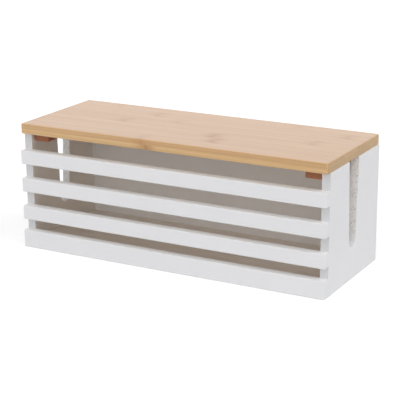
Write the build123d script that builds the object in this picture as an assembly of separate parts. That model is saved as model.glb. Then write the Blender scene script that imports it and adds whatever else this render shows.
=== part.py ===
from build123d import *

import os

# Cable management box: a painted board box, open at the top, with a slatted front and a tapered
# cable slot in each end panel, under a loose lid of laminated bamboo.
#
# Frame: +X along the length, -Y out of the slatted front, +Z up, in millimetres.
# Origin: the middle of the footprint, on the surface that the box stands on.

# Box
BOX_LENGTH = 400.0  # X, over the end panels
BOX_DEPTH = 154.0  # Y, from the face of the slats to the back
BOX_HEIGHT = 142.5  # Z, to the top edges that carry the lid
SIDE_THICKNESS = 10.0
BACK_THICKNESS = 10.0
BOTTOM_THICKNESS = 10.0
REAR_ROUND = 3.0  # the box's long rear edges, top and bottom, sanded after assembly
PANEL_EASE = 0.8  # the rim of each end panel's outer face

# Slatted front
SLAT_NAMES = ("slat_upper", "slat_middle", "slat_lower")
SLAT_THICKNESS = 10.0
SLAT_HEIGHT = 17.5
SLAT_GAP = 17.2
TOP_GAP = 20.0  # between the upper slat and the lid
BASE_BOARD_HEIGHT = 22.0
SLAT_ROUND = 1.5

# Cable slot in each end panel
SLOT_MOUTH_WIDTH = 28.5
SLOT_END_RADIUS = 9.5
SLOT_FLOOR = 39.0  # height of the lowest point of its round end

# Lid: two layers of bamboo strips, the lower layer's seams half a strip from the upper one's
LID_THICKNESS = 12.5
LID_SETBACK = 2.0  # behind the slats and in front of the back
LID_CORNER_RADIUS = 2.5
LID_EDGE_ROUND = 1.5
LID_STRIPS = 7  # across the upper layer

# Lid cleats, which drop inside the end panels
CLEAT_WIDTH = 20.0
CLEAT_HEIGHT = 10.0
CLEAT_ROUND = 2.0
CLEAT_SIDE_CLEARANCE = 1.5  # to the end panel
CLEAT_END_CLEARANCE = 4.0  # to the slats and to the back panel

# Cleat screws, countersunk
SCREW_LENGTH = 16.0
SCREW_RADIUS = 1.75
SCREW_HEAD_RADIUS = 3.5
SCREW_HEAD_HEIGHT = 2.0
SCREW_STRIP = 3  # the lower strip, counted from each long edge, that a screw enters in its middle
DRIVE_LENGTH = 4.0  # cross recess in the head
DRIVE_WIDTH = 0.9
DRIVE_DEPTH = 1.3

# Brads of flat wire, which hold every board joint, their heads set below the face and filled over
BRAD_LENGTH = 25.0
BRAD_WIDTH = 1.25
BRAD_THICKNESS = 1.05
BRAD_HEAD_WIDTH = 2.0
BRAD_HEAD_THICKNESS = 0.9
BRAD_POINT = 1.5
BRAD_SET = 1.0
BASE_BRAD_SPACING = 11.0  # the pair at each end of the base board; a slat has one at each end
BRADS_PER_ROW = 3  # along each other joint
BRAD_ROW_INSET = 22.0  # from the end of a joint to the first brad of its row

FASTENER_CLEARANCE = 0.1
CUT_MARGIN = 1.0  # how far a cut runs past the face that it opens

# Places that several parts share
side_outer = BOX_LENGTH / 2
side_inner = side_outer - SIDE_THICKNESS
side_middle = side_outer - SIDE_THICKNESS / 2
front_face = -BOX_DEPTH / 2
slat_back = front_face + SLAT_THICKNESS
back_face = BOX_DEPTH / 2
back_inner = back_face - BACK_THICKNESS
back_middle = back_face - BACK_THICKNESS / 2
bottom_middle = BOTTOM_THICKNESS / 2
lid_top = BOX_HEIGHT + LID_THICKNESS
lid_seam = BOX_HEIGHT + LID_THICKNESS / 2
lid_depth = BOX_DEPTH - 2 * LID_SETBACK
strip_width = lid_depth / LID_STRIPS
cleat_outer = side_inner - CLEAT_SIDE_CLEARANCE
cleat_middle = cleat_outer - CLEAT_WIDTH / 2
cleat_bottom = BOX_HEIGHT - CLEAT_HEIGHT
screw_reach = lid_depth / 2 - (SCREW_STRIP - 1) * strip_width
slat_floors = [
    BOX_HEIGHT - TOP_GAP - SLAT_HEIGHT - i * (SLAT_HEIGHT + SLAT_GAP)
    for i in range(len(SLAT_NAMES))
]


def block(x, y, z):
    """A block between two values along each axis."""
    corner = Pos(x[0], y[0], z[0])
    return corner * Box(x[1] - x[0], y[1] - y[0], z[1] - z[0], align=(Align.MIN,) * 3)


def turned(*profile):
    """A solid of revolution about Z, from (radius, height) points that start and end on the axis."""
    return revolve(Plane.XZ * make_face(Polyline(*profile, close=True)), Axis.Z)


def placed(solid, points, direction):
    """One copy of a fastener at each point, its +Z along the direction."""
    return [Plane(origin=point, z_dir=direction).location * solid for point in points]


def drilled(solid, pockets):
    """The solid less every fastener pocket that reaches it."""
    reach = solid.bounding_box()
    return solid - [pocket for pocket in pockets if reach.overlaps(pocket.bounding_box())]


# Fasteners. Each function gives the solid, or with a gap all round, the pocket that takes it.
# The head lies at the local origin and the shank runs down -Z.


def brad(gap=0.0):
    """A flat-wire brad: its side outline, with a T head and a chisel point, in the wire's thickness."""
    head, shank = BRAD_HEAD_WIDTH / 2 + gap, BRAD_WIDTH / 2 + gap
    under_head, shoulder, tip = -BRAD_HEAD_THICKNESS - gap, BRAD_POINT - BRAD_LENGTH, -BRAD_LENGTH - gap
    right = [(head, gap), (head, under_head), (shank, under_head), (shank, shoulder)]
    left = [(-x, z) for x, z in reversed(right)]
    outline = Polyline(*right, (0, tip), *left, close=True)
    return extrude(Plane.XZ * make_face(outline), BRAD_THICKNESS / 2 + gap, both=True)


def screw(gap=0.0):
    """A countersunk screw, turned about its axis."""
    shank = SCREW_RADIUS + gap
    return turned(
        (0, 0),
        (SCREW_HEAD_RADIUS + gap, 0),
        (shank, -SCREW_HEAD_HEIGHT),
        (shank, -SCREW_LENGTH - gap),
        (0, -SCREW_LENGTH - gap),
    )


def screw_with_recess():
    """The screw with the cross recess for its driver."""
    arm = Box(DRIVE_LENGTH, DRIVE_WIDTH, DRIVE_DEPTH, align=(Align.CENTER, Align.CENTER, Align.MAX))
    return screw() - arm - Rot(0, 0, 90) * arm


def placed_screws(solid):
    """Screws up through the cleats, their heads flush with the cleats' undersides."""
    points = [
        (x, y, cleat_bottom) for x in (-cleat_middle, cleat_middle) for y in (-screw_reach, screw_reach)
    ]
    return placed(solid, points, (0, 0, -1))


def brad_row(low, high):
    """Evenly spaced positions along a joint, the first and last set in from its ends."""
    step = (high - low - 2 * BRAD_ROW_INSET) / (BRADS_PER_ROW - 1)
    return [low + BRAD_ROW_INSET + i * step for i in range(BRADS_PER_ROW)]


def placed_brads(solid):
    """Brads in from the front, the back and both ends."""
    slat_heights = [floor + SLAT_HEIGHT / 2 for floor in slat_floors]
    base_heights = [(BASE_BOARD_HEIGHT + z) / 2 for z in (-BASE_BRAD_SPACING, BASE_BRAD_SPACING)]
    across = brad_row(-side_inner, side_inner)
    front_head = front_face + BRAD_SET
    front = [(x, front_head, z) for x in (-side_middle, side_middle) for z in slat_heights + base_heights]
    front += [(x, front_head, bottom_middle) for x in across]
    rear = [(x, back_face - BRAD_SET, bottom_middle) for x in across]
    brads = placed(solid, front, (0, -1, 0)) + placed(solid, rear, (0, 1, 0))
    for side in (-1, 1):
        head = side * (side_outer - BRAD_SET)
        points = [(head, y, bottom_middle) for y in brad_row(slat_back, back_inner)]
        points += [(head, back_middle, z) for z in brad_row(0, BOX_HEIGHT)]
        brads += placed(solid, points, (side, 0, 0))
    return brads


def slot_outline():
    """The cable slot: straight sides that run off its round end to a wider mouth."""
    round_end = Pos(0, SLOT_FLOOR + SLOT_END_RADIUS) * Circle(SLOT_END_RADIUS)
    half_mouth = SLOT_MOUTH_WIDTH / 2
    mouth = Line((-half_mouth, BOX_HEIGHT), (half_mouth, BOX_HEIGHT))
    above = Pos(0, BOX_HEIGHT + CUT_MARGIN / 2) * Rectangle(SLOT_MOUTH_WIDTH, CUT_MARGIN)
    return make_hull(ShapeList([round_end.edge(), mouth])) + above


def side_panel(side):
    """An end panel, side -1 or 1: square where the slats land, rounded behind, slotted from the top."""
    outline = Polyline(
        (slat_back, 0), (back_face, 0), (back_face, BOX_HEIGHT), (slat_back, BOX_HEIGHT), close=True
    )
    profile = make_face(outline)
    rear_corners = profile.vertices().sort_by(Axis.X)[-2:]
    profile = fillet(rear_corners, REAR_ROUND)
    panel = extrude(Plane.YZ * Pos(0, 0, side * side_inner) * profile, side * SIDE_THICKNESS)
    outer = panel.faces().sort_by(Axis.X)[-1 if side > 0 else 0]
    rim = [edge for edge in outer.edges() if edge.center().Y > slat_back + PANEL_EASE]
    panel = fillet(rim, PANEL_EASE)
    slot_start = side * (side_inner - CUT_MARGIN)
    slot_cut = extrude(
        Plane.YZ * Pos(0, 0, slot_start) * slot_outline(), side * (SIDE_THICKNESS + 2 * CUT_MARGIN)
    )
    return panel - slot_cut


def back_panel():
    """Full-height board between the end panels, its rear edges rounded in line with theirs."""
    panel = block((-side_inner, side_inner), (back_inner, back_face), (0, BOX_HEIGHT))
    rear = panel.faces().sort_by(Axis.Y)[-1]
    return fillet(rear.edges().filter_by(Axis.X), REAR_ROUND)


def bottom_panel():
    return block((-side_inner, side_inner), (slat_back, back_inner), (0, BOTTOM_THICKNESS))


def front_board(floor, height):
    """A bar across the front edges of the end panels, with its face and its ends eased."""
    bar = block((-side_outer, side_outer), (front_face, slat_back), (floor, floor + height))
    face = bar.faces().sort_by(Axis.Y)[0]
    end_edges = bar.edges().filter_by(Axis.Y)
    return fillet(face.edges() + end_edges, SLAT_ROUND)


def lid_board():
    """The whole lid board, its corners and edges rounded, before it is divided into strips."""
    plan = RectangleRounded(BOX_LENGTH, lid_depth, LID_CORNER_RADIUS)
    board = extrude(Pos(0, 0, BOX_HEIGHT) * plan, LID_THICKNESS)
    ordered = board.faces().sort_by(Axis.Z)
    return fillet(ordered[0].edges() + ordered[-1].edges(), LID_EDGE_ROUND)


def lid_layer(board, seams, low, high):
    """The strips of one layer, between neighbouring seams."""
    reach = side_outer + CUT_MARGIN
    return [board & block((-reach, reach), (near, far), (low, high)) for near, far in zip(seams, seams[1:])]


def lid_cleat(side):
    """A bar across the underside of the lid, its two lower edges rounded."""
    length = back_inner - slat_back - 2 * CLEAT_END_CLEARANCE
    middle = Pos(side * cleat_middle, (back_inner + slat_back) / 2, cleat_bottom + CLEAT_HEIGHT / 2)
    bar = middle * Box(CLEAT_WIDTH, length, CLEAT_HEIGHT)
    lower_edges = bar.faces().sort_by(Axis.Z)[0].edges().filter_by(Axis.Y)
    return fillet(lower_edges, CLEAT_ROUND)


def box_parts():
    """The nodes of the box: its boards and the brads that hold them."""
    pockets = placed_brads(brad(FASTENER_CLEARANCE))
    boards = {
        "side_panel_left": side_panel(-1),
        "side_panel_right": side_panel(1),
        "back_panel": back_panel(),
        "bottom_panel": bottom_panel(),
        "base_board": front_board(0, BASE_BOARD_HEIGHT),
    }
    for name, floor in zip(SLAT_NAMES, slat_floors):
        boards[name] = front_board(floor, SLAT_HEIGHT)
    parts = {name: drilled(board, pockets) for name, board in boards.items()}
    parts["brads"] = Compound(placed_brads(brad()))
    return parts


def lid_parts():
    """The nodes of the lid: two layers of strips, the cleats and their screws."""
    pockets = placed_screws(screw(FASTENER_CLEARANCE))
    board = lid_board()
    edge = lid_depth / 2
    upper_seams = [-edge + i * strip_width for i in range(LID_STRIPS + 1)]
    lower_seams = [-edge] + [seam + strip_width / 2 for seam in upper_seams[:-1]] + [edge]
    parts = {}
    for number, strip in enumerate(lid_layer(board, upper_seams, lid_seam, lid_top), 1):
        parts[f"lid_top_stave_{number}"] = strip
    for number, strip in enumerate(lid_layer(board, lower_seams, BOX_HEIGHT, lid_seam), 1):
        parts[f"lid_under_stave_{number}"] = strip
    parts["lid_cleat_left"] = lid_cleat(-1)
    parts["lid_cleat_right"] = lid_cleat(1)
    parts = {name: drilled(part, pockets) for name, part in parts.items()}
    parts["cleat_screws"] = Compound(placed_screws(screw_with_recess()))
    return parts


def main():
    os.makedirs("parts", exist_ok=True)
    for name, part in (box_parts() | lid_parts()).items():
        export_step(part, f"parts/{name}.step")


main()
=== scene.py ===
# %% [markdown]
# # A cable management box: finish, light and camera
#
# The box is a case of painted boards with a slatted front and a cable slot in each end, closed by a
# loose bamboo lid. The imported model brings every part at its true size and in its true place, so
# nothing here moves or reshapes one. What is left to make is how the parts look: the paint, the
# bamboo, the bare cuts in the slots, and the light that they are seen in.

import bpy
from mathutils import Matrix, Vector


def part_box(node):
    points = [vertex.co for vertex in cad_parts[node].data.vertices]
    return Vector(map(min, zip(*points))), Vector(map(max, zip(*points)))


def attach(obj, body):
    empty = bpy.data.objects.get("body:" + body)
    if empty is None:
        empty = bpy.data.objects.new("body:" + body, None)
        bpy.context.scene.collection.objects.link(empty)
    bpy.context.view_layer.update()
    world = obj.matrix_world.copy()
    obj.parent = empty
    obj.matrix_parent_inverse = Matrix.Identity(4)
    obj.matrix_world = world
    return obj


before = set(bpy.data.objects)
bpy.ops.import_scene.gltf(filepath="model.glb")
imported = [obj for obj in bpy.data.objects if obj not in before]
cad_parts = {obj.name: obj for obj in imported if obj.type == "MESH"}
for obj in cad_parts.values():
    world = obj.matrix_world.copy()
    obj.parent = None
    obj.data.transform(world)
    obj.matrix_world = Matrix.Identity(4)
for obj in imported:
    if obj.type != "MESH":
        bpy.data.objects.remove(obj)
print("parts loaded:", len(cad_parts))

# %% [markdown]
# ## Measure the parts
#
# A finish often follows a size: bamboo strips end at their seams, and the inside of the box starts at
# its panels. Those numbers could be typed in again, but then they would drift from the model. Each one
# is read from the box around a part instead, in metres, where a finish first needs it, so the finish
# still fits when a size changes.

# %% A unit for lengths
from math import radians

import bpy
import numpy as np

MM = 0.001  # a millimetre, because every length here is in metres

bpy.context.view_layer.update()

# %% [markdown]
# ## Short words for shader nodes
#
# A procedural material is a small graph of nodes. Written out in full, each node takes four or five
# lines, and the recipe drowns in them. Short helpers keep it readable: `add` makes a node and fills its
# sockets, and `calc` is one sum. What is given for a socket is either a plain number or colour, or
# another node's output, which is then linked. A few more helpers follow, each where a recipe first
# needs it.

# %% Helpers for shader nodes
def add(tree, kind, inputs=(), **settings):
    """A new node in the tree, with its settings, and its inputs set or linked by name or number."""
    made = tree.nodes.new(kind)
    for name, value in settings.items():
        setattr(made, name, value)
    for name, value in dict(inputs).items():
        if isinstance(value, bpy.types.NodeSocket):
            tree.links.new(value, made.inputs[name])
        else:
            made.inputs[name].default_value = value
    return made


def calc(tree, operation, *values):
    """The result of one sum, such as MULTIPLY, on numbers or sockets."""
    return add(tree, "ShaderNodeMath", enumerate(values), operation=operation).outputs[0]


# %% [markdown]
# ## Colours as a person reads them
#
# A colour given from 0 to 255 is how a screen shows it, while a shader works in linear light.
# The two are tied by the screen's curve: a straight line near black, and above it a power of 2.4.
# Writing colours the way they look, and converting once, keeps them easy to judge.

# %% A helper for colours
def seen(red, green, blue):
    """The linear colour, with an alpha of 1, that a screen shows as these 0 to 255 values.

    Up to a share of 0.04045 it is the share / 12.92, and above that
    ((share + 0.055) / 1.055) to the power of 2.4.
    """
    share = np.array([red, green, blue]) / 255
    linear = np.where(share <= 0.04045, share / 12.92, ((share + 0.055) / 1.055) ** 2.4)
    return (*linear.tolist(), 1.0)


print("a screen's 128 of 255 is", round(seen(128, 128, 128)[0], 3), "in linear light")

# %% [markdown]
# ## Node groups for effects that several finishes share
#
# Clouds in a tone, softened edges and the grain of bamboo turn up in more than one material. Each is
# built once as a node group with named sockets, like a function, and placed in each material with its
# own values. A group gives out only colours, masks and heights. The shader itself stays in the
# material, where it can be read off.

# %% A helper for node groups
SOCKETS = {float: "NodeSocketFloat", tuple: "NodeSocketColor", str: "NodeSocketVector"}


def group(name, inputs, outputs):
    """A new node group, with the sockets of its input and output nodes.

    An input's starting value tells its kind: a number, a colour, or "vector" for a place in space.
    """
    tree = bpy.data.node_groups.new(name, "ShaderNodeTree")
    for label, start in inputs.items():
        socket = tree.interface.new_socket(label, in_out="INPUT", socket_type=SOCKETS[type(start)])
        if start != "vector":
            socket.default_value = start
    for label, kind in outputs.items():
        tree.interface.new_socket(label, in_out="OUTPUT", socket_type=SOCKETS[kind])
    return tree, tree.nodes.new("NodeGroupInput").outputs, tree.nodes.new("NodeGroupOutput").inputs


# %% [markdown]
# ### Clouds in a tone
#
# No painted or oiled surface is one flat colour. Over a few centimetres it drifts a percent or two
# lighter and darker. Each material could mix in a second colour for this, but a soft noise centred on 1
# serves them all: whatever it multiplies keeps its hue and its average. A noise runs from 0 to 1. Less
# its middle and doubled it runs from -1 to 1, and that times the amount is added to 1.

# %% Node group: clouds
def noise(tree, vector, scale, detail=2.0, roughness=0.5):
    """Soft random values from 0 to 1 over space, most of them in the noise span."""
    inputs = {"Vector": vector, "Scale": scale, "Detail": detail, "Roughness": roughness}
    return add(tree, "ShaderNodeTexNoise", inputs).outputs["Fac"]


NOISE_SPAN = 0.3, 0.7

clouds, given, result = group(
    "clouds", {"Vector": "vector", "Size": 50 * MM, "Amount": 0.02}, {"Factor": float}
)
drift = noise(clouds, given["Vector"], calc(clouds, "DIVIDE", 1.0, given["Size"]), detail=3.0)
drift = calc(clouds, "SUBTRACT", drift, 0.5)
drift = calc(clouds, "MULTIPLY", drift, calc(clouds, "MULTIPLY", given["Amount"], 2.0))
clouds.links.new(calc(clouds, "ADD", drift, 1.0), result["Factor"])
print("node group clouds:", len(clouds.nodes), "nodes")

# %% [markdown]
# ### Softened edges
#
# Paint draws back from an edge as it dries, and handling polishes it. The edge could be found with a
# bevel shader, which is slow, or from the mesh's pointiness, which needs a dense mesh. These parts need
# neither: on their flat faces one part of the normal is 1, and only on the rounded edges are all three
# less than 1. The largest of the three therefore marks the edges, and a noise breaks the mark up.
#
# The same three numbers tell which way a face looks. The group gives that out as well, because boards
# and strips differ between their broad faces, their long edges and their sawn ends.

# %% Node group: softened edges
def parts_of(tree, vector):
    """The three numbers of a vector, one socket each."""
    return add(tree, "ShaderNodeSeparateXYZ", {0: vector}).outputs


def remap(tree, value, low, high, new_low=0.0, new_high=1.0):
    """The value's range from low to high carried smoothly over to a new range, and held at its ends."""
    inputs = {"Value": value, 1: low, 2: high, 3: new_low, 4: new_high}
    return add(tree, "ShaderNodeMapRange", inputs, interpolation_type="SMOOTHSTEP").outputs[0]


EDGE_BEGINS, EDGE_FULL = 0.99, 0.85
FACING_BEGINS, FACING_FULL = 0.5, 0.9
PATCH_BEGINS, PATCH_FULL = 0.4, 0.6

soft_edges, given, result = group(
    "softened edges",
    {"Vector": "vector", "Patch Size": 6 * MM, "Broken Up": 0.5},
    {"Mask": float, "Faces X": float, "Faces Y": float, "Faces Z": float},
)
facing = add(soft_edges, "ShaderNodeNewGeometry").outputs["Normal"]
facing = add(soft_edges, "ShaderNodeVectorMath", {0: facing}, operation="ABSOLUTE").outputs[0]
x, y, z = parts_of(soft_edges, facing)
largest = calc(soft_edges, "MAXIMUM", calc(soft_edges, "MAXIMUM", x, y), z)
patches = noise(soft_edges, given["Vector"], calc(soft_edges, "DIVIDE", 1.0, given["Patch Size"]))
patches = remap(soft_edges, patches, PATCH_BEGINS, PATCH_FULL)
kept = calc(soft_edges, "SUBTRACT", 1.0, calc(soft_edges, "MULTIPLY", patches, given["Broken Up"]))
mask = calc(soft_edges, "MULTIPLY", remap(soft_edges, largest, EDGE_BEGINS, EDGE_FULL), kept)
soft_edges.links.new(mask, result["Mask"])
for share, label in ((x, "Faces X"), (y, "Faces Y"), (z, "Faces Z")):
    soft_edges.links.new(remap(soft_edges, share, FACING_BEGINS, FACING_FULL), result[label])
print("node group softened edges:", len(soft_edges.nodes), "nodes")

# %% [markdown]
# ### The grain of bamboo
#
# A bamboo board is glued up from strips split off the wall of the culm. Three things make it read as
# bamboo and not as wood. Straight fibres run the whole length and show as fine streaks on the faces and
# as dots on the end grain. Each strip has a tone of its own, with a thin glue line at its seams. And
# every 25 cm or so a strip crosses a node of the culm, which leaves a short, curved, darker scar with a
# soft shadow about it.
#
# All of it is one solid pattern in space, so the faces, edges and ends of a board agree. Its first axis
# runs along the fibres. The first step finds which strip a point is in and where in that strip it lies,
# and draws one random number for each strip.

# %% Node group: bamboo, the frame of one strip
BAMBOO_PALE = seen(215, 177, 124)
BAMBOO_DEEP = seen(188, 145, 92)
BAMBOO_SCAR = seen(140, 84, 40)

bamboo, given, result = group(
    "bamboo strips",
    {
        "Vector": "vector",
        "First Seam": 0.0,
        "Strip Width": 20 * MM,
        "Node Place": 0.0,
        "Node Strength": 1.0,
        "Pale": BAMBOO_PALE,
        "Deep": BAMBOO_DEEP,
        "Scar": BAMBOO_SCAR,
        "Glue": BAMBOO_SCAR,
    },
    {"Color": tuple, "Scarred": float, "Roughness": float, "Height": float},
)
along, across, up = parts_of(bamboo, given["Vector"])
strips_in = calc(bamboo, "SUBTRACT", across, given["First Seam"])
strips_in = calc(bamboo, "DIVIDE", strips_in, given["Strip Width"])
strip = calc(bamboo, "FLOOR", strips_in)
place_in_strip = calc(bamboo, "FRACT", strips_in)
chance = add(bamboo, "ShaderNodeTexWhiteNoise", {"W": strip}, noise_dimensions="1D").outputs["Value"]
print("node group bamboo strips, the frame:", len(bamboo.nodes), "nodes")

# %% [markdown]
# The fibres are three patterns of different fineness, each drawn out along the strip: the bundles, whose
# cells stay distinct, the fine streaks between them, and broad bands where the wall of the culm was
# denser. Each strip reads them at a different distance along, so no streak runs on across a seam. Their
# sum is drawn apart a little at the end, because adding patterns up evens them out.

# %% Node group: bamboo, the fibres
STRIP_SHIFT = 370 * MM
BUNDLE_LENGTH, BUNDLE_WIDTH, BUNDLE_SHARE = 200 * MM, 1.1 * MM, 0.35
STREAK_LENGTH, STREAK_WIDTH, STREAK_SHARE = 70 * MM, 0.37 * MM, 0.40
BAND_LENGTH, BAND_WIDTH, BAND_SHARE = 330 * MM, 6.25 * MM, 0.25
FIBRES_PALEST, FIBRES_DEEPEST = 0.3, 0.7

shifted = calc(bamboo, "ADD", along, calc(bamboo, "MULTIPLY", strip, STRIP_SHIFT))
own = add(bamboo, "ShaderNodeCombineXYZ", {0: shifted, 1: across, 2: up}).outputs[0]


def drawn_out(length, width):
    """The strip's own space, scaled so that a pattern of size 1 comes out that long and that wide."""
    factors = {0: own, 1: (1 / length, 1 / width, 1 / width)}
    return add(bamboo, "ShaderNodeVectorMath", factors, operation="MULTIPLY").outputs[0]


cells = {"Vector": drawn_out(BUNDLE_LENGTH, BUNDLE_WIDTH), "Scale": 1.0}
bundles = add(bamboo, "ShaderNodeTexVoronoi", cells).outputs["Color"]
bundles = add(bamboo, "ShaderNodeSeparateColor", {0: bundles}).outputs[0]
streaks = noise(bamboo, drawn_out(STREAK_LENGTH, STREAK_WIDTH), 1.0, detail=3.0, roughness=0.6)
bands = noise(bamboo, drawn_out(BAND_LENGTH, BAND_WIDTH), 1.0)
fibres = calc(bamboo, "MULTIPLY", bundles, BUNDLE_SHARE)
fibres = calc(bamboo, "ADD", fibres, calc(bamboo, "MULTIPLY", streaks, STREAK_SHARE))
fibres = calc(bamboo, "ADD", fibres, calc(bamboo, "MULTIPLY", bands, BAND_SHARE))
fibres = remap(bamboo, fibres, FIBRES_PALEST, FIBRES_DEEPEST)
print("node group bamboo strips, with its fibres:", len(bamboo.nodes), "nodes")

# %% [markdown]
# Distances along a strip are wrapped to the spacing of the culm's nodes, which repeats the scars without
# listing each one. A scar bows across its strip, because the node was a ring round the culm: its
# distance along the strip grows with the square of the distance from the strip's middle. A noise makes
# it waver. The square is taken four times, because half a strip squared is a quarter, so the bow is
# complete at the strip's sides. The same distance gives both the thin dark line and the soft shadow, as
# two humps, a narrow and a wide one.

# %% Node group: bamboo, the scars at the nodes
CULM_NODE_SPACING = 250 * MM
SCAR_BOW, SCAR_WAVER = 6 * MM, 12 * MM
WAVER_LENGTH, WAVER_WIDTH = 25 * MM, 6.25 * MM
SCAR_LINE, SCAR_SHADOW = 1.5 * MM, 11 * MM


def bell(tree, distance, reach):
    """A hump that is 1 where the distance is 0 and fades as exp(-(distance / reach) squared)."""
    share = calc(tree, "DIVIDE", distance, reach)
    return calc(tree, "EXPONENT", calc(tree, "MULTIPLY", calc(tree, "MULTIPLY", share, share), -1.0))


half = CULM_NODE_SPACING / 2
away = calc(bamboo, "WRAP", calc(bamboo, "SUBTRACT", along, given["Node Place"]), half, -half)
from_middle = calc(bamboo, "SUBTRACT", place_in_strip, 0.5)
bow = calc(bamboo, "MULTIPLY", calc(bamboo, "MULTIPLY", from_middle, from_middle), SCAR_BOW * 4)
waver = calc(bamboo, "SUBTRACT", noise(bamboo, drawn_out(WAVER_LENGTH, WAVER_WIDTH), 1.0), 0.5)
waver = calc(bamboo, "MULTIPLY", waver, SCAR_WAVER)
away = calc(bamboo, "ADD", calc(bamboo, "SUBTRACT", away, bow), waver)
shadow = calc(bamboo, "MULTIPLY", bell(bamboo, away, SCAR_SHADOW), given["Node Strength"])
line = calc(bamboo, "MULTIPLY", bell(bamboo, away, SCAR_LINE), given["Node Strength"])
print("node group bamboo strips, with its scars:", len(bamboo.nodes), "nodes")

# %% [markdown]
# Two ways to change a colour are needed from here on. A blend goes over to a second colour, as where a
# coat lies on what is under it. A tint multiplies a colour, as where it only gets more or less light,
# and so keeps its hue.

# %% Helpers for blends and tints
def blend(tree, amount, first, second):
    """A colour that goes from the first to the second as the amount goes from 0 to 1."""
    return add(tree, "ShaderNodeMix", {0: amount, 6: first, 7: second}, data_type="RGBA").outputs[2]


def tinted(tree, colour, factor):
    """The colour made lighter or darker by a factor near 1. A plain colour comes without its alpha."""
    return add(tree, "ShaderNodeVectorMath", {0: colour, "Scale": factor}, operation="SCALE").outputs[0]


# %% [markdown]
# The strip's colour is built up in layers: the fibres, the strip's own tone, the scar's shadow and its
# line, and the glue at the seams. Glue has a colour of its own, so that a material may change its scars
# and leave its seams alone. How deep in a scar a point lies is given out too, for a material that treats
# scars apart. The deeper a fibre's colour, the duller and the lower it is, and scars and seams lie lower
# still.

# %% Node group: bamboo, its colour, roughness and relief
GLUE_LINE = 0.18 * MM
FIBRE_SHARE, SHADOW_SHARE, LINE_SHARE, GLUE_SHARE = 0.62, 0.70, 0.63, 0.30
STRIP_TONES = 0.97, 1.03
FIBRE_ROUGHNESS = 0.36, 0.46
FIBRE_RELIEF, SCAR_RELIEF = -0.5, -1.5

to_seam = calc(bamboo, "SUBTRACT", 0.5, calc(bamboo, "ABSOLUTE", from_middle))
to_seam = calc(bamboo, "MULTIPLY", to_seam, given["Strip Width"])
glue = remap(bamboo, to_seam, GLUE_LINE * 2, GLUE_LINE)
colour = blend(bamboo, calc(bamboo, "MULTIPLY", fibres, FIBRE_SHARE), given["Pale"], given["Deep"])
colour = tinted(bamboo, colour, remap(bamboo, chance, 0.0, 1.0, *STRIP_TONES))
colour = blend(bamboo, calc(bamboo, "MULTIPLY", shadow, SHADOW_SHARE), colour, given["Scar"])
colour = blend(bamboo, calc(bamboo, "MULTIPLY", line, LINE_SHARE), colour, given["Scar"])
colour = blend(bamboo, calc(bamboo, "MULTIPLY", glue, GLUE_SHARE), colour, given["Glue"])
bamboo.links.new(colour, result["Color"])
bamboo.links.new(calc(bamboo, "MINIMUM", shadow, 1.0), result["Scarred"])
bamboo.links.new(remap(bamboo, fibres, 0.0, 1.0, *FIBRE_ROUGHNESS), result["Roughness"])
relief = calc(bamboo, "MULTIPLY", fibres, FIBRE_RELIEF)
relief = calc(bamboo, "ADD", relief, calc(bamboo, "MULTIPLY", line, SCAR_RELIEF))
bamboo.links.new(calc(bamboo, "SUBTRACT", relief, glue), result["Height"])
print("node group bamboo strips:", len(bamboo.nodes), "nodes")

# %% [markdown]
# ## From a recipe to a material
#
# Every finish on the box ends in the same way: one Principled shader, with a colour, a roughness and a
# relief. `new_material` begins it, `place` sets a node group in it, and `surface` makes that ending, so
# each material's own function only has to say what is particular to it. Relief is given as a height and
# a depth, and a Bump node turns the two into a tilt of the surface.

# %% Helpers for materials
def new_material(name):
    """A new material: itself, its node tree, its shader, and the place in space as a coordinate."""
    material = bpy.data.materials.new(name)
    material.use_nodes = True
    tree = material.node_tree
    spot = add(tree, "ShaderNodeTexCoord").outputs["Object"]
    return material, tree, tree.nodes["Principled BSDF"], spot


def place(tree, shared, inputs):
    """The outputs of a node group placed in a material with its own values."""
    return add(tree, "ShaderNodeGroup", inputs, node_tree=shared).outputs


def surface(tree, shader, colour, roughness, height, depth):
    """Links the colour, the roughness, and a relief in which a height of 1 stands for the depth."""
    bump = add(tree, "ShaderNodeBump", {"Height": height, "Distance": depth, "Strength": 1.0})
    tree.links.new(colour, shader.inputs["Base Color"])
    tree.links.new(roughness, shader.inputs["Roughness"])
    tree.links.new(bump.outputs["Normal"], shader.inputs["Normal"])


# %% [markdown]
# ### Places with painted light and shade
#
# The paint's colour isn't the same everywhere. Inside the box it is a paler and warmer white: painted
# light, which lifts the shaded inside and gives it the warm bounce off the bamboo lid. On the sawn
# upright front edges of the end panels, in the gaps between the slats, it is duller: a painted shade
# for the shadow of the slats in that recess. The inside and those edges could be given materials of
# their own, but a board is one part and the paint runs over it without a break. Both are found from
# the place in space instead: a point is in a box-shaped region where the distances to all of its
# sides are positive.

# %% The box-shaped regions
ON_A_FACE = 0.3 * MM

panel_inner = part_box("side_panel_right")[0].x
panel_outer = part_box("side_panel_right")[1].x
box_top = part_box("side_panel_right")[1].z
slat_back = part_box("slat_upper")[1].y
back_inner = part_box("back_panel")[0].y
floor_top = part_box("bottom_panel")[1].z


def room_to(tree, value, low, high):
    """How far a value lies inside a range: positive between its ends and negative outside them."""
    from_low = calc(tree, "SUBTRACT", value, low)
    return calc(tree, "MINIMUM", from_low, calc(tree, "SUBTRACT", high, value))


def region(tree, x, y, z, x_range, y_range, z_range):
    """1 in a box in space and on its sides, and 0 a hair beyond them."""
    room = calc(tree, "MINIMUM", room_to(tree, x, *x_range), room_to(tree, y, *y_range))
    room = calc(tree, "MINIMUM", room, room_to(tree, z, *z_range))
    return remap(tree, room, -ON_A_FACE, -ON_A_FACE / 2)


inside = 2 * panel_inner, back_inner - slat_back, box_top - floor_top
print("inside, mm wide, deep and high:", [round(size / MM, 1) for size in inside])
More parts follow.
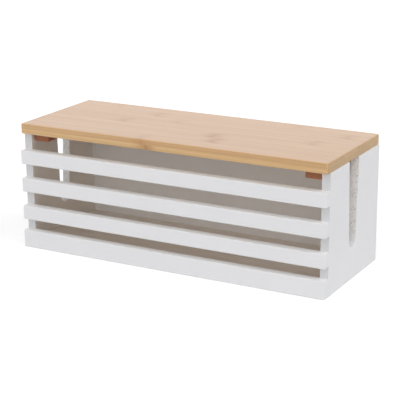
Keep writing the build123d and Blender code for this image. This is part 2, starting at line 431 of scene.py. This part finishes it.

# %% [markdown]
# ### White paint
#
# The boards are sprayed white. The level faces are a shade whiter: a painted highlight for the light
# that falls on the tops, which the faces underneath get as well. The coat is thinnest on the rounded
# edges, where it goes a little towards the colour of the board. The order matters: the face first,
# then the place, and the edges over both.

# %% The paint's colour
PAINT = seen(233, 233, 235)
HIGHLIGHT_WHITE = seen(246, 246, 247)
THIN_PAINT = seen(214, 204, 192)
POST_SHADE_PAINT = seen(214, 214, 216)
PAINTED_INSIDE_LIGHT = seen(248, 246, 244)
PAINTED_WARM_BOUNCE = seen(247, 240, 232)
EDGE_SHOW_THROUGH = 0.25
POST_SHADE_DEPTH = 1 * MM


def paint_colour(tree, spot, faces):
    """The paint's colour by the way a face looks, then by its place, then along its edges."""
    x, y, z = parts_of(tree, spot)
    # Painted highlight: the level faces are a shade whiter, for the light that falls on the tops.
    colour = blend(tree, faces["Faces Z"], PAINT, HIGHLIGHT_WHITE)

    # Painted shade: the sawn front edges between the slats are duller, for the slats' shadow there.
    from_middle = calc(tree, "ABSOLUTE", x)
    post = ((panel_inner, panel_outer), (slat_back, slat_back + POST_SHADE_DEPTH), (0.0, box_top))
    sawn = calc(tree, "MULTIPLY", region(tree, from_middle, y, z, *post), faces["Faces Y"])
    colour = blend(tree, sawn, colour, POST_SHADE_PAINT)

    # Painted light inside: a paler white, warmer on the floor and end walls, for the lid's warm bounce.
    room = ((-panel_inner, panel_inner), (slat_back, back_inner), (floor_top, box_top))
    walls = blend(tree, faces["Faces Y"], PAINTED_WARM_BOUNCE, PAINTED_INSIDE_LIGHT)
    colour = blend(tree, region(tree, x, y, z, *room), colour, walls)
    return blend(tree, calc(tree, "MULTIPLY", faces["Mask"], EDGE_SHOW_THROUGH), colour, THIN_PAINT)


print("paint, in linear light:", [round(v, 3) for v in PAINT[:3]])

# %% [markdown]
# Close up, a sprayed coat has a faint orange peel of bumps two or three millimetres apart, and a softer
# waviness from the board under it. Real bumps would need a very dense mesh. Two noises do the same as
# relief, one of them twenty times as coarse and six times as high as the other. The coat dries matt to
# satin, in patches a centimetre or two across.

# %% Material: white paint
SATIN_ROUGHNESS, SATIN_PATCHES_PER_METRE = (0.42, 0.56), 60.0
PEEL_SIZE, PEEL_DEPTH = 2.2 * MM, 0.05 * MM
WAVE_SIZE, WAVE_RELIEF = 20 * PEEL_SIZE, 6.0


def white_paint():
    """The paint: its colour with clouds in it, satin in patches, over orange peel and waves."""
    material, tree, shader, spot = new_material("white_paint")
    faces = place(tree, soft_edges, {"Vector": spot, "Patch Size": 9 * MM, "Broken Up": 0.7})
    drift = place(tree, clouds, {"Vector": spot, "Size": 60 * MM, "Amount": 0.02})["Factor"]
    colour = tinted(tree, paint_colour(tree, spot, faces), drift)
    satin = noise(tree, spot, SATIN_PATCHES_PER_METRE, detail=3.0)
    roughness = remap(tree, satin, *NOISE_SPAN, *SATIN_ROUGHNESS)
    peel = noise(tree, spot, 1 / PEEL_SIZE, detail=1.0)
    waves = noise(tree, spot, 1 / WAVE_SIZE, detail=1.0)
    height = calc(tree, "ADD", peel, calc(tree, "MULTIPLY", waves, WAVE_RELIEF))
    surface(tree, shader, colour, roughness, height, PEEL_DEPTH)
    return material


paint = white_paint()
print("white paint:", len(paint.node_tree.nodes), "nodes")

# %% [markdown]
# ### Bamboo for the lid
#
# The lid is two layers of strips, with the lower layer's seams half a strip from the upper one's. Both
# use the bamboo group. What differs is where the nodes of the culm fell, strip by strip. Every strip
# could have a material of its own for that, but a colour ramp with hard steps can hold such a short
# list, and one material then serves a whole layer. The ramp's red is the place of the node and its
# green how strong the scar is. A ramp holds no negative numbers, so a place is kept as its share of the
# spacing of the nodes, plus a half.

# %% Where the nodes fell, strip by strip
UPPER_NODES = [(-38, 0.4), (43, 0.9), (33, 0.9), (-101, 0.5), (-37, 0.35), (-77, 0.5), (104, 0.3)]
LOWER_NODES = [
    (-26, 0.7), (60, 0.43), (-90, 0.57), (15, 0.36), (110, 0.5), (-72, 0.64), (85, 0.43), (-110, 0.57)
]

lid_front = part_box("lid_top_stave_1")[0].y
strip_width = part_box("lid_top_stave_2")[1].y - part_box("lid_top_stave_2")[0].y


def node_table(tree, spot, first_seam, nodes):
    """The culm node's place, in metres, and its strength, from a list with one (mm, strength) per strip."""
    across = parts_of(tree, spot)[1]
    whole = strip_width * len(nodes)
    share = calc(tree, "DIVIDE", calc(tree, "SUBTRACT", across, first_seam), whole)
    steps = add(tree, "ShaderNodeValToRGB", {"Fac": share})
    ramp = steps.color_ramp
    ramp.interpolation = "CONSTANT"
    while len(ramp.elements) < len(nodes):
        ramp.elements.new(0.5)
    for number, (millimetres, strength) in enumerate(nodes):
        ramp.elements[number].position = number / len(nodes)
        ramp.elements[number].color = (millimetres * MM / CULM_NODE_SPACING + 0.5, strength, 0, 1)
    red, green, _ = add(tree, "ShaderNodeSeparateColor", {0: steps.outputs["Color"]}).outputs
    return calc(tree, "MULTIPLY", calc(tree, "SUBTRACT", red, 0.5), CULM_NODE_SPACING), green


print("lid strips, mm wide:", round(strip_width / MM, 2))

# %% [markdown]
# A strip looks different on each kind of face. The long edges are planed and a little lighter, and the
# ends are darker, because there one looks into the cut tubes of the fibres. The pattern itself is the
# same on all of them, so a factor for each kind of face is enough.

# %% Tones of the lid, face by face
UPPER_TONES = {"Faces X": 0.82, "Faces Y": 1.08}
LOWER_TONES = {"Faces X": 0.78, "Faces Y": 1.02}


def toned(tree, colour, faces, tones):
    """The colour, with a factor of its own on the faces that look along each axis named in the tones."""
    for label, tone in tones.items():
        colour = tinted(tree, colour, remap(tree, faces[label], 0.0, 1.0, 1.0, tone))
    return colour


print("sawn ends, as a share of the plain tone:", UPPER_TONES["Faces X"], "and", LOWER_TONES["Faces X"])

# %% [markdown]
# The broad top is paler and pinker: partly because sandpaper went over it, and partly as a painted
# sheen, the lacquer's whitish wash on the top. A scar goes deep, and the paler top colour leaves the
# scars alone. The upper layer's scars are a lighter and yellower brown than the lower layer's, and
# the lower layer gets none of the paler top. Over it all lies a clear lacquer, except on the ends,
# where the open fibres soak it up.

# %% Material: the lid's bamboo
SANDED_AND_SHEEN_BAMBOO = seen(218, 165, 126)
SANDED_SCAR = seen(176, 110, 44)
UPPER_SANDED_AND_SHEEN, LOWER_SANDED_AND_SHEEN = 0.5, 0.0
EDGE_HIGHLIGHT = 0.25
LACQUER, LACQUER_ON_ENDS, LACQUER_ROUGHNESS = 0.8, 0.1, 0.25
LID_GRAIN_DEPTH = 0.02 * MM


def bamboo_layer(name, first_seam, nodes, scar, tones, sanded_and_sheen):
    """One lid layer: scarred strips toned by face, its top paler, partly by painted sheen, and lacquered.
    """
    material, tree, shader, spot = new_material(name)
    node_place, strength = node_table(tree, spot, first_seam, nodes)
    grain = place(tree, bamboo, {
        "Vector": spot, "First Seam": first_seam, "Strip Width": strip_width,
        "Node Place": node_place, "Node Strength": strength, "Scar": scar,
    })
    faces = place(tree, soft_edges, {"Vector": spot, "Patch Size": 20 * MM, "Broken Up": 0.4})
    drift = place(tree, clouds, {"Vector": spot, "Size": 70 * MM, "Amount": 0.03})["Factor"]
    colour = toned(tree, tinted(tree, grain["Color"], drift), faces, tones)
    # Painted sheen, with sandpaper's paling: the top goes towards a paler, pinker colour, away from scars.
    sanding_and_sheen = calc(tree, "MULTIPLY", calc(tree, "SUBTRACT", 1.0, grain["Scarred"]), sanded_and_sheen)
    colour = blend(tree, calc(tree, "MULTIPLY", faces["Faces Z"], sanding_and_sheen), colour, SANDED_AND_SHEEN_BAMBOO)
    # Painted highlight: the rounded edges go towards the pale colour.
    colour = blend(tree, calc(tree, "MULTIPLY", faces["Mask"], EDGE_HIGHLIGHT), colour, BAMBOO_PALE)
    surface(tree, shader, colour, grain["Roughness"], grain["Height"], LID_GRAIN_DEPTH)
    lacquer = remap(tree, faces["Faces X"], 0.0, 1.0, LACQUER, LACQUER_ON_ENDS)
    tree.links.new(lacquer, shader.inputs["Coat Weight"])
    shader.inputs["Coat Roughness"].default_value = LACQUER_ROUGHNESS
    return material


lower_seam = lid_front - strip_width / 2
upper_bamboo = bamboo_layer(
    "bamboo_upper_layer", lid_front, UPPER_NODES, SANDED_SCAR, UPPER_TONES, UPPER_SANDED_AND_SHEEN
)
lower_bamboo = bamboo_layer(
    "bamboo_lower_layer", lower_seam, LOWER_NODES, BAMBOO_SCAR, LOWER_TONES, LOWER_SANDED_AND_SHEEN
)
print("first seams, mm:", round(lid_front / MM, 2), "above and", round(lower_seam / MM, 2), "below")

# %% [markdown]
# ### Oiled bamboo for the cleats
#
# The two cleats under the lid are bamboo as well, so the same group makes them. Their fibres run from
# front to back, so the place in space is turned a quarter before it goes into the group. The colours are
# darker, because the cleats are oiled and the lid is lacquered pale. Each cleat is cut from one piece,
# so the strips are set wider than a cleat, and no seam crosses it.

# %% Material: the cleats' bamboo
CLEAT_PALE = seen(176, 108, 64)
CLEAT_DEEP = seen(136, 78, 42)
CLEAT_SCAR = seen(104, 60, 34)
CLEAT_TONES = {"Faces Y": 0.80}
CLEAT_STRIP = 50 * MM
CLEAT_NODE, CLEAT_NODE_STRENGTH = 20 * MM, 0.7
CLEAT_GRAIN_DEPTH = 0.03 * MM


def oiled_cleat():
    """The cleats: bamboo turned a quarter, in oiled colours, with darker ends and no lacquer."""
    material, tree, shader, spot = new_material("oiled_cleat")
    quarter = {"Vector": spot, "Angle": radians(-90)}
    turned = add(tree, "ShaderNodeVectorRotate", quarter, rotation_type="Z_AXIS").outputs[0]
    grain = place(tree, bamboo, {
        "Vector": turned, "First Seam": panel_inner, "Strip Width": CLEAT_STRIP,
        "Node Place": CLEAT_NODE, "Node Strength": CLEAT_NODE_STRENGTH,
        "Pale": CLEAT_PALE, "Deep": CLEAT_DEEP, "Scar": CLEAT_SCAR, "Glue": CLEAT_SCAR,
    })
    faces = place(tree, soft_edges, {"Vector": spot})
    drift = place(tree, clouds, {"Vector": spot, "Size": 20 * MM, "Amount": 0.05})["Factor"]
    colour = toned(tree, tinted(tree, grain["Color"], drift), faces, CLEAT_TONES)
    surface(tree, shader, colour, grain["Roughness"], grain["Height"], CLEAT_GRAIN_DEPTH)
    return material


cleat_bamboo = oiled_cleat()
print("oiled cleat:", len(cleat_bamboo.node_tree.nodes), "nodes")

# %% [markdown]
# ### Bare board in the slots
#
# The slots are sawn through the boards, so their walls show the pressed core: pale fibre with darker
# and lighter flecks a millimetre or so across. A Voronoi pattern gives the flecks, because its cells
# have the hard outlines of chips: where one of a cell's random numbers is high it is a pale fleck, and
# where another is high a dark one. A noise underneath gives the fibre between them. Towards the round
# bottom of the slot the core fades out under the whitest paint, with a ragged upper limit: a painted
# highlight where the bottom turns up to the light.

# %% Material: bare board
CORE_PALE = seen(249, 248, 246)
CORE_MID = seen(238, 236, 234)
CORE_CHIP = seen(186, 180, 173)
FLECK_SIZE = 1.3 * MM
PALE_FLECKS, PALE_STRENGTH = (0.70, 0.80), 0.7
DARK_FLECKS, DARK_STRENGTH = (0.80, 0.90), 0.5
FUZZ_SPAN = 0.35, 0.65
BOTTOM_HIGHLIGHT_BEGINS, BOTTOM_HIGHLIGHT_FULL, BOTTOM_HIGHLIGHT_RAGGED = 55 * MM, 46 * MM, 6 * MM
CORE_ROUGHNESS, CORE_DEPTH = (0.8, 0.95), 0.2 * MM


def bare_board():
    """The pressed core: fibre and flecks, with a painted highlight in white below a ragged height."""
    material, tree, shader, spot = new_material("bare_board")
    flecks = add(tree, "ShaderNodeTexVoronoi", {"Vector": spot, "Scale": 1 / FLECK_SIZE}).outputs["Color"]
    pale, dark, _ = add(tree, "ShaderNodeSeparateColor", {0: flecks}).outputs
    fuzz = noise(tree, spot, 2 / FLECK_SIZE, detail=3.0, roughness=0.7)
    colour = blend(tree, remap(tree, fuzz, *FUZZ_SPAN), CORE_MID, CORE_PALE)
    colour = blend(tree, remap(tree, pale, *PALE_FLECKS, 0.0, PALE_STRENGTH), colour, CORE_PALE)
    colour = blend(tree, remap(tree, dark, *DARK_FLECKS, 0.0, DARK_STRENGTH), colour, CORE_CHIP)
    # Painted highlight: below a ragged height the core turns to the whitest paint.
    ragged = calc(tree, "MULTIPLY", calc(tree, "SUBTRACT", fuzz, 0.5), BOTTOM_HIGHLIGHT_RAGGED)
    height = calc(tree, "ADD", parts_of(tree, spot)[2], ragged)
    colour = blend(tree, remap(tree, height, BOTTOM_HIGHLIGHT_BEGINS, BOTTOM_HIGHLIGHT_FULL), colour, HIGHLIGHT_WHITE)
    drift = place(tree, clouds, {"Vector": spot, "Size": 15 * MM, "Amount": 0.05})["Factor"]
    roughness = remap(tree, fuzz, 0.0, 1.0, *CORE_ROUGHNESS)
    surface(tree, shader, tinted(tree, colour, drift), roughness, fuzz, CORE_DEPTH)
    return material


core = bare_board()
print("bare board:", len(core.node_tree.nodes), "nodes")

# %% [markdown]
# ### Zinc-plated steel
#
# The screws under the lid and the brads inside the joints are small and mostly hidden. Scratches could
# be drawn one by one, but at this size they only dull the shine. Full metal with a fine, uneven
# roughness is enough, since a metal's look is nearly all reflection.

# %% Material: steel
STEEL = seen(168, 168, 166)
SCRATCHES_PER_METRE, SCRATCH_DEPTH = 3000.0, 0.01 * MM
STEEL_ROUGHNESS = 0.28, 0.45


def plated_steel():
    """The plating: plain metal whose roughness follows a noise as fine as scratches."""
    material, tree, shader, spot = new_material("plated_steel")
    shader.inputs["Metallic"].default_value = 1.0
    scratches = noise(tree, spot, SCRATCHES_PER_METRE)
    drift = place(tree, clouds, {"Vector": spot, "Size": 4 * MM, "Amount": 0.08})["Factor"]
    roughness = remap(tree, scratches, *NOISE_SPAN, *STEEL_ROUGHNESS)
    surface(tree, shader, tinted(tree, STEEL[:3], drift), roughness, scratches, SCRATCH_DEPTH)
    return material


steel = plated_steel()
print("plated steel:", len(steel.node_tree.nodes), "nodes")

# %% [markdown]
# ## Put the finishes on the parts
#
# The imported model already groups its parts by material, so one look at a part's own material says
# which finish it takes. Only the lid needs more: its two layers are told apart by their names.

# %% Assign the materials
finishes = {"white_board": paint, "bamboo_cleat": cleat_bamboo, "steel": steel}

for name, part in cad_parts.items():
    packed = part.data.materials[0].name.split(".")[0]
    if packed == "bamboo":
        chosen = upper_bamboo if name.startswith("lid_top") else lower_bamboo
    else:
        chosen = finishes[packed]
    part.data.materials[0] = chosen
print("finished", len(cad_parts), "parts")

# %% [markdown]
# ## The bare edge of each slot
#
# The raw walls of a slot could be left to a mask in the paint, but a saw cut through pressed board is
# rough enough to feel, and that roughness belongs in the shape. So each slot gets a thin skin of bare
# core on its walls. Seen from the end, the slot is a straight side that runs down to a round bottom,
# and up again. The sides meet the round bottom without a corner, so they leave it where they are
# tangent to it: from a point at distance d from the centre of a circle of radius r, the tangent
# touches at an angle of acos(r / d) from the line to the centre. The box around a part doesn't tell
# the slot's three sizes, so they are the same numbers as in the model, typed in again.

# %% The slot's outline
SLOT_MOUTH, SLOT_RADIUS, SLOT_BOTTOM = 28.5 * MM, 9.5 * MM, 39 * MM
GRAIN_STEP = 0.5 * MM


def slot_wall(step=GRAIN_STEP):
    """Points down one side of the slot, round its bottom and up the other, with their inward normals.

    The sides are straight lines from the mouth to the tangent points, and the bottom is an arc of
    centre (0, bottom + radius). Points are evenly spaced along the path.
    """
    centre = np.array([0.0, SLOT_BOTTOM + SLOT_RADIUS])
    corner = np.array([SLOT_MOUTH / 2, box_top])
    to_corner = corner - centre
    distance = np.hypot(*to_corner)
    touch = np.arctan2(to_corner[1], to_corner[0]) - np.arccos(SLOT_RADIUS / distance)
    side = np.sqrt(distance**2 - SLOT_RADIUS**2)
    arc = SLOT_RADIUS * (np.pi + 2 * touch)
    travel = np.linspace(0, 2 * side + arc, int((2 * side + arc) / step))
    turn = touch - np.clip((travel - side) / SLOT_RADIUS, 0, np.pi + 2 * touch)
    outward = np.stack([np.cos(turn), np.sin(turn)], axis=1)
    down = np.stack([outward[:, 1], -outward[:, 0]], axis=1)
    before = np.clip(side - travel, 0, None)[:, None]
    after = np.clip(travel - side - arc, 0, None)[:, None]
    return centre + SLOT_RADIUS * outward - before * down + after * down, -outward


wall, inward = slot_wall()
print("slot wall:", len(wall), "points, lowest at", round(wall[:, 1].min() / MM, 2), "mm")

# %% [markdown]
# The cut is rough, so the skin needs random heights. One for each point would look like sand. Here they
# sit on a coarser lattice, and between them the height follows the smooth curve 3t^2 - 2t^3, so there
# are no creases.

# %% A helper for rough heights
def value_noise(rows, columns, cell, seed):
    """Smooth random heights from -1 to 1 on a grid: lattice values, eased along each axis in turn."""
    chance = np.random.default_rng(seed)
    lattice = chance.uniform(-1, 1, (rows // cell + 2, columns // cell + 2))

    def eased(count):
        """The lattice cell of each grid line, and its share t of the way through as 3t^2 - 2t^3."""
        travel = np.arange(count) / cell
        whole = travel.astype(int)
        rest = travel - whole
        return whole, rest * rest * (3 - 2 * rest)

    row, row_share = eased(rows)
    column, column_share = eased(columns)
    row_share, column_share = row_share[:, None], column_share[None, :]
    near = lattice[row][:, column] * (1 - column_share) + lattice[row][:, column + 1] * column_share
    far = lattice[row + 1][:, column] * (1 - column_share) + lattice[row + 1][:, column + 1] * column_share
    return near * (1 - row_share) + far * row_share


# %% [markdown]
# The skin itself is a slab between two grids of points: a rough one that stands a fraction of a
# millimetre proud of the cut, and a hidden one inside the board. A Solidify modifier could thicken one
# grid, but two grids give each face its own shape. The faces are worked out from the points' numbers,
# all at once: each point of a grid but the last of its row and column begins one square.

# %% A helper for slabs
def slab(name, front, back):
    """A closed piece between two grids of the same shape: its front, its back, and its four rims."""
    rows, columns, _ = front.shape
    number = np.arange(rows * columns).reshape(rows, columns)
    a, b, c, d = number[:-1, :-1], number[:-1, 1:], number[1:, 1:], number[1:, :-1]
    front_faces = np.stack([a, b, c, d], axis=-1).reshape(-1, 4)
    back_faces = front_faces[:, ::-1] + rows * columns
    rim = np.concatenate([number[0, :], number[1:, -1], number[-1, -2::-1], number[-2:0:-1, 0]])
    following = np.roll(rim, -1)
    rim_faces = np.stack([following, rim, rim + rows * columns, following + rows * columns], axis=-1)
    mesh = bpy.data.meshes.new(name)
    points = np.concatenate([front.reshape(-1, 3), back.reshape(-1, 3)])
    mesh.from_pydata(points.tolist(), [], np.concatenate([front_faces, back_faces, rim_faces]).tolist())
    mesh.validate()
    piece = bpy.data.objects.new(name, mesh)
    bpy.context.scene.collection.objects.link(piece)
    return piece


# %% [markdown]
# The outline is carried across the thickness of the panel, and every point is pushed off the wall along
# its normal by its own height. Two layers of noise, a coarse and a fine one, look torn and not rippled.
# The skin stops a little short of the panel's faces, because the paint wraps round the edges of the
# cut, and a little below the lid, which it must not touch. It belongs to the box, so it rides on that
# body.

# %% The bare edges
SKIN_DEPTH, SKIN_PROUD, TEAR = 0.30 * MM, 0.10 * MM, 0.07 * MM
COARSE_CELL, COARSE_SHARE, COARSE_SEED = 4, 0.6, 3
FINE_CELL, FINE_SHARE, FINE_SEED = 2, 0.4, 8
BELOW_LID, PAINTED_MARGIN = 0.2 * MM, 0.35 * MM


def bare_edge(side):
    """The skin on one slot's walls. side is -1 for the left end of the box and 1 for the right.

    A point is the wall's point, plus its normal times how proud it stands, at each x across the panel.
    On the right the grid runs the other way round, so its faces are flipped to point outwards.
    """
    clear = wall[:, 1] < box_top - BELOW_LID
    path, normal = wall[clear], inward[clear]
    steps = int((panel_outer - panel_inner) / GRAIN_STEP)
    across = np.linspace(panel_inner + PAINTED_MARGIN, panel_outer - PAINTED_MARGIN, steps)
    rows, columns = len(path), len(across)
    coarse = value_noise(rows, columns, COARSE_CELL, seed=COARSE_SEED + side)
    fine = value_noise(rows, columns, FINE_CELL, seed=FINE_SEED + side)
    x = np.broadcast_to(side * across, (rows, columns))

    def layer(proud):
        """The wall's grid of points, each moved along its normal by its own number."""
        yz = path[:, None, :] + normal[:, None, :] * proud[..., None]
        return np.concatenate([x[..., None], yz], axis=-1)

    front = layer(SKIN_PROUD + TEAR * (COARSE_SHARE * coarse + FINE_SHARE * fine))
    back = layer(np.full((rows, columns), -SKIN_DEPTH))
    piece = slab(f"slot_bare_edge_{'right' if side > 0 else 'left'}", front, back)
    if side > 0:
        piece.data.flip_normals()
    piece.data.materials.append(core)
    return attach(piece, "box")


for side in (-1, 1):
    edge = bare_edge(side)
    print(edge.name, len(edge.data.polygons), "faces")

# %% [markdown]
# ## Camera
#
# The camera looks down on the box from beyond its front right corner. A long lens keeps its lines from
# converging much, so its proportions read true. The camera could be aimed by a constraint, but three
# turns say it plainly: up from straight down, a hair of roll, and round from the front.

# %% Camera
CAMERA_PLACE = (0.7325, -1.3408, 0.5245)
CAMERA_TURNS = (73.33, 0.22, 28.45)  # degrees about X, Y and Z
FOCAL_LENGTH, SENSOR_WIDTH = 119.9, 36.0  # in mm

lens = bpy.data.cameras.new("camera")
lens.lens, lens.sensor_width = FOCAL_LENGTH, SENSOR_WIDTH
camera = bpy.data.objects.new("camera", lens)
camera.location = CAMERA_PLACE
camera.rotation_euler = [radians(turn) for turn in CAMERA_TURNS]
bpy.context.scene.collection.objects.link(camera)
bpy.context.scene.camera = camera
print("camera, m from the middle of the box:", round(camera.location.length, 2))

# %% [markdown]
# ## Floor and light
#
# The box stands on a plain pale floor in a white studio. More light would make the floor white, but it
# would bleach the box as well. So the sky and the floor add a glow that only the camera and mirrors
# find: they are seen as white paper, nothing is lit by it, and the box still throws its soft shadow.

# %% Floor
WHITE = seen(255, 255, 255)
FLOOR = seen(232, 232, 232)
FLOOR_ROUGHNESS, FLOOR_GLOW = 0.9, 0.42
HALF_FLOOR = 9.0


def seen_directly(tree):
    """1 for rays from the camera, from mirrors and through glass, and 0 for light that falls on things."""
    rays = add(tree, "ShaderNodeLightPath").outputs
    direct = calc(tree, "MAXIMUM", rays["Is Camera Ray"], rays["Is Glossy Ray"])
    return calc(tree, "MAXIMUM", direct, rays["Is Transmission Ray"])


def studio_floor():
    """The floor: a matt pale grey that glows only where it is looked at."""
    material, tree, shader, spot = new_material("studio_floor")
    drift = place(tree, clouds, {"Vector": spot, "Size": 400 * MM, "Amount": 0.004})["Factor"]
    tree.links.new(tinted(tree, FLOOR[:3], drift), shader.inputs["Base Color"])
    shader.inputs["Roughness"].default_value = FLOOR_ROUGHNESS
    shader.inputs["Emission Color"].default_value = WHITE
    glow = calc(tree, "MULTIPLY", seen_directly(tree), FLOOR_GLOW)
    tree.links.new(glow, shader.inputs["Emission Strength"])
    return material


floor_mesh = bpy.data.meshes.new("floor")
corners = [(HALF_FLOOR * x, HALF_FLOOR * y, 0.0) for x, y in ((-1, -1), (1, -1), (1, 1), (-1, 1))]
floor_mesh.from_pydata(corners, [], [(0, 1, 2, 3)])
floor = bpy.data.objects.new("floor", floor_mesh)
floor_mesh.materials.append(studio_floor())
bpy.context.scene.collection.objects.link(floor)
print("floor, m wide:", 2 * HALF_FLOOR)

# %% [markdown]
# The sky is even and white. Looked at directly it has its full strength, and as light it is turned down
# to a quarter, enough to fill the shadows and leave the modelling to the lamps.

# %% Sky
SKY_LIGHT = 0.26

world = bpy.data.worlds.new("studio")
bpy.context.scene.world = world
world.use_nodes = True
sky = world.node_tree.nodes["Background"]
strength = remap(world.node_tree, seen_directly(world.node_tree), 0.0, 1.0, SKY_LIGHT, 1.0)
world.node_tree.links.new(strength, sky.inputs["Strength"])
sky.inputs["Color"].default_value = WHITE
print("sky light, as a share of full white:", SKY_LIGHT)

# %% [markdown]
# Five lamps do the modelling. Area lamps near the box would light its near corner more than its far one.
# Sun lamps don't, and a wide angle makes them as soft as a bank of studio lights far away. The low key
# lamp and the upper one light the slats and reach in between them, the right one lights the end panel
# and the lid, and the weak left and back ones keep the other sides from going grey. Mirrors don't see
# the lamps, because the white sky is already there in their place, and a lamp on top of it would bleach
# the lacquer.

# %% Lamps
def soft_lamp(name, round_from_front, up, spread, brightness):
    """A wide, far lamp, from angles in degrees: round from the front towards the right, and up.

    A white surface that faces it squarely is lit as brightly as the number given: 1 is full white.
    """
    lamp = bpy.data.lights.new(name, "SUN")
    lamp.angle, lamp.energy = radians(spread), brightness * np.pi
    holder = bpy.data.objects.new(name, lamp)
    holder.rotation_euler = (radians(90 - up), 0, radians(round_from_front))
    holder.visible_glossy = False
    bpy.context.scene.collection.objects.link(holder)
    print("lamp", name, "at", round_from_front, "degrees round and", up, "up")


soft_lamp("key", round_from_front=12, up=13, spread=45, brightness=0.23)
soft_lamp("upper", round_from_front=15, up=50, spread=45, brightness=0.21)
soft_lamp("right", round_from_front=92, up=38, spread=60, brightness=0.33)
soft_lamp("left", round_from_front=-60, up=28, spread=60, brightness=0.15)
soft_lamp("back", round_from_front=185, up=30, spread=60, brightness=0.14)
bpy.context.scene.view_settings.view_transform = "Standard"
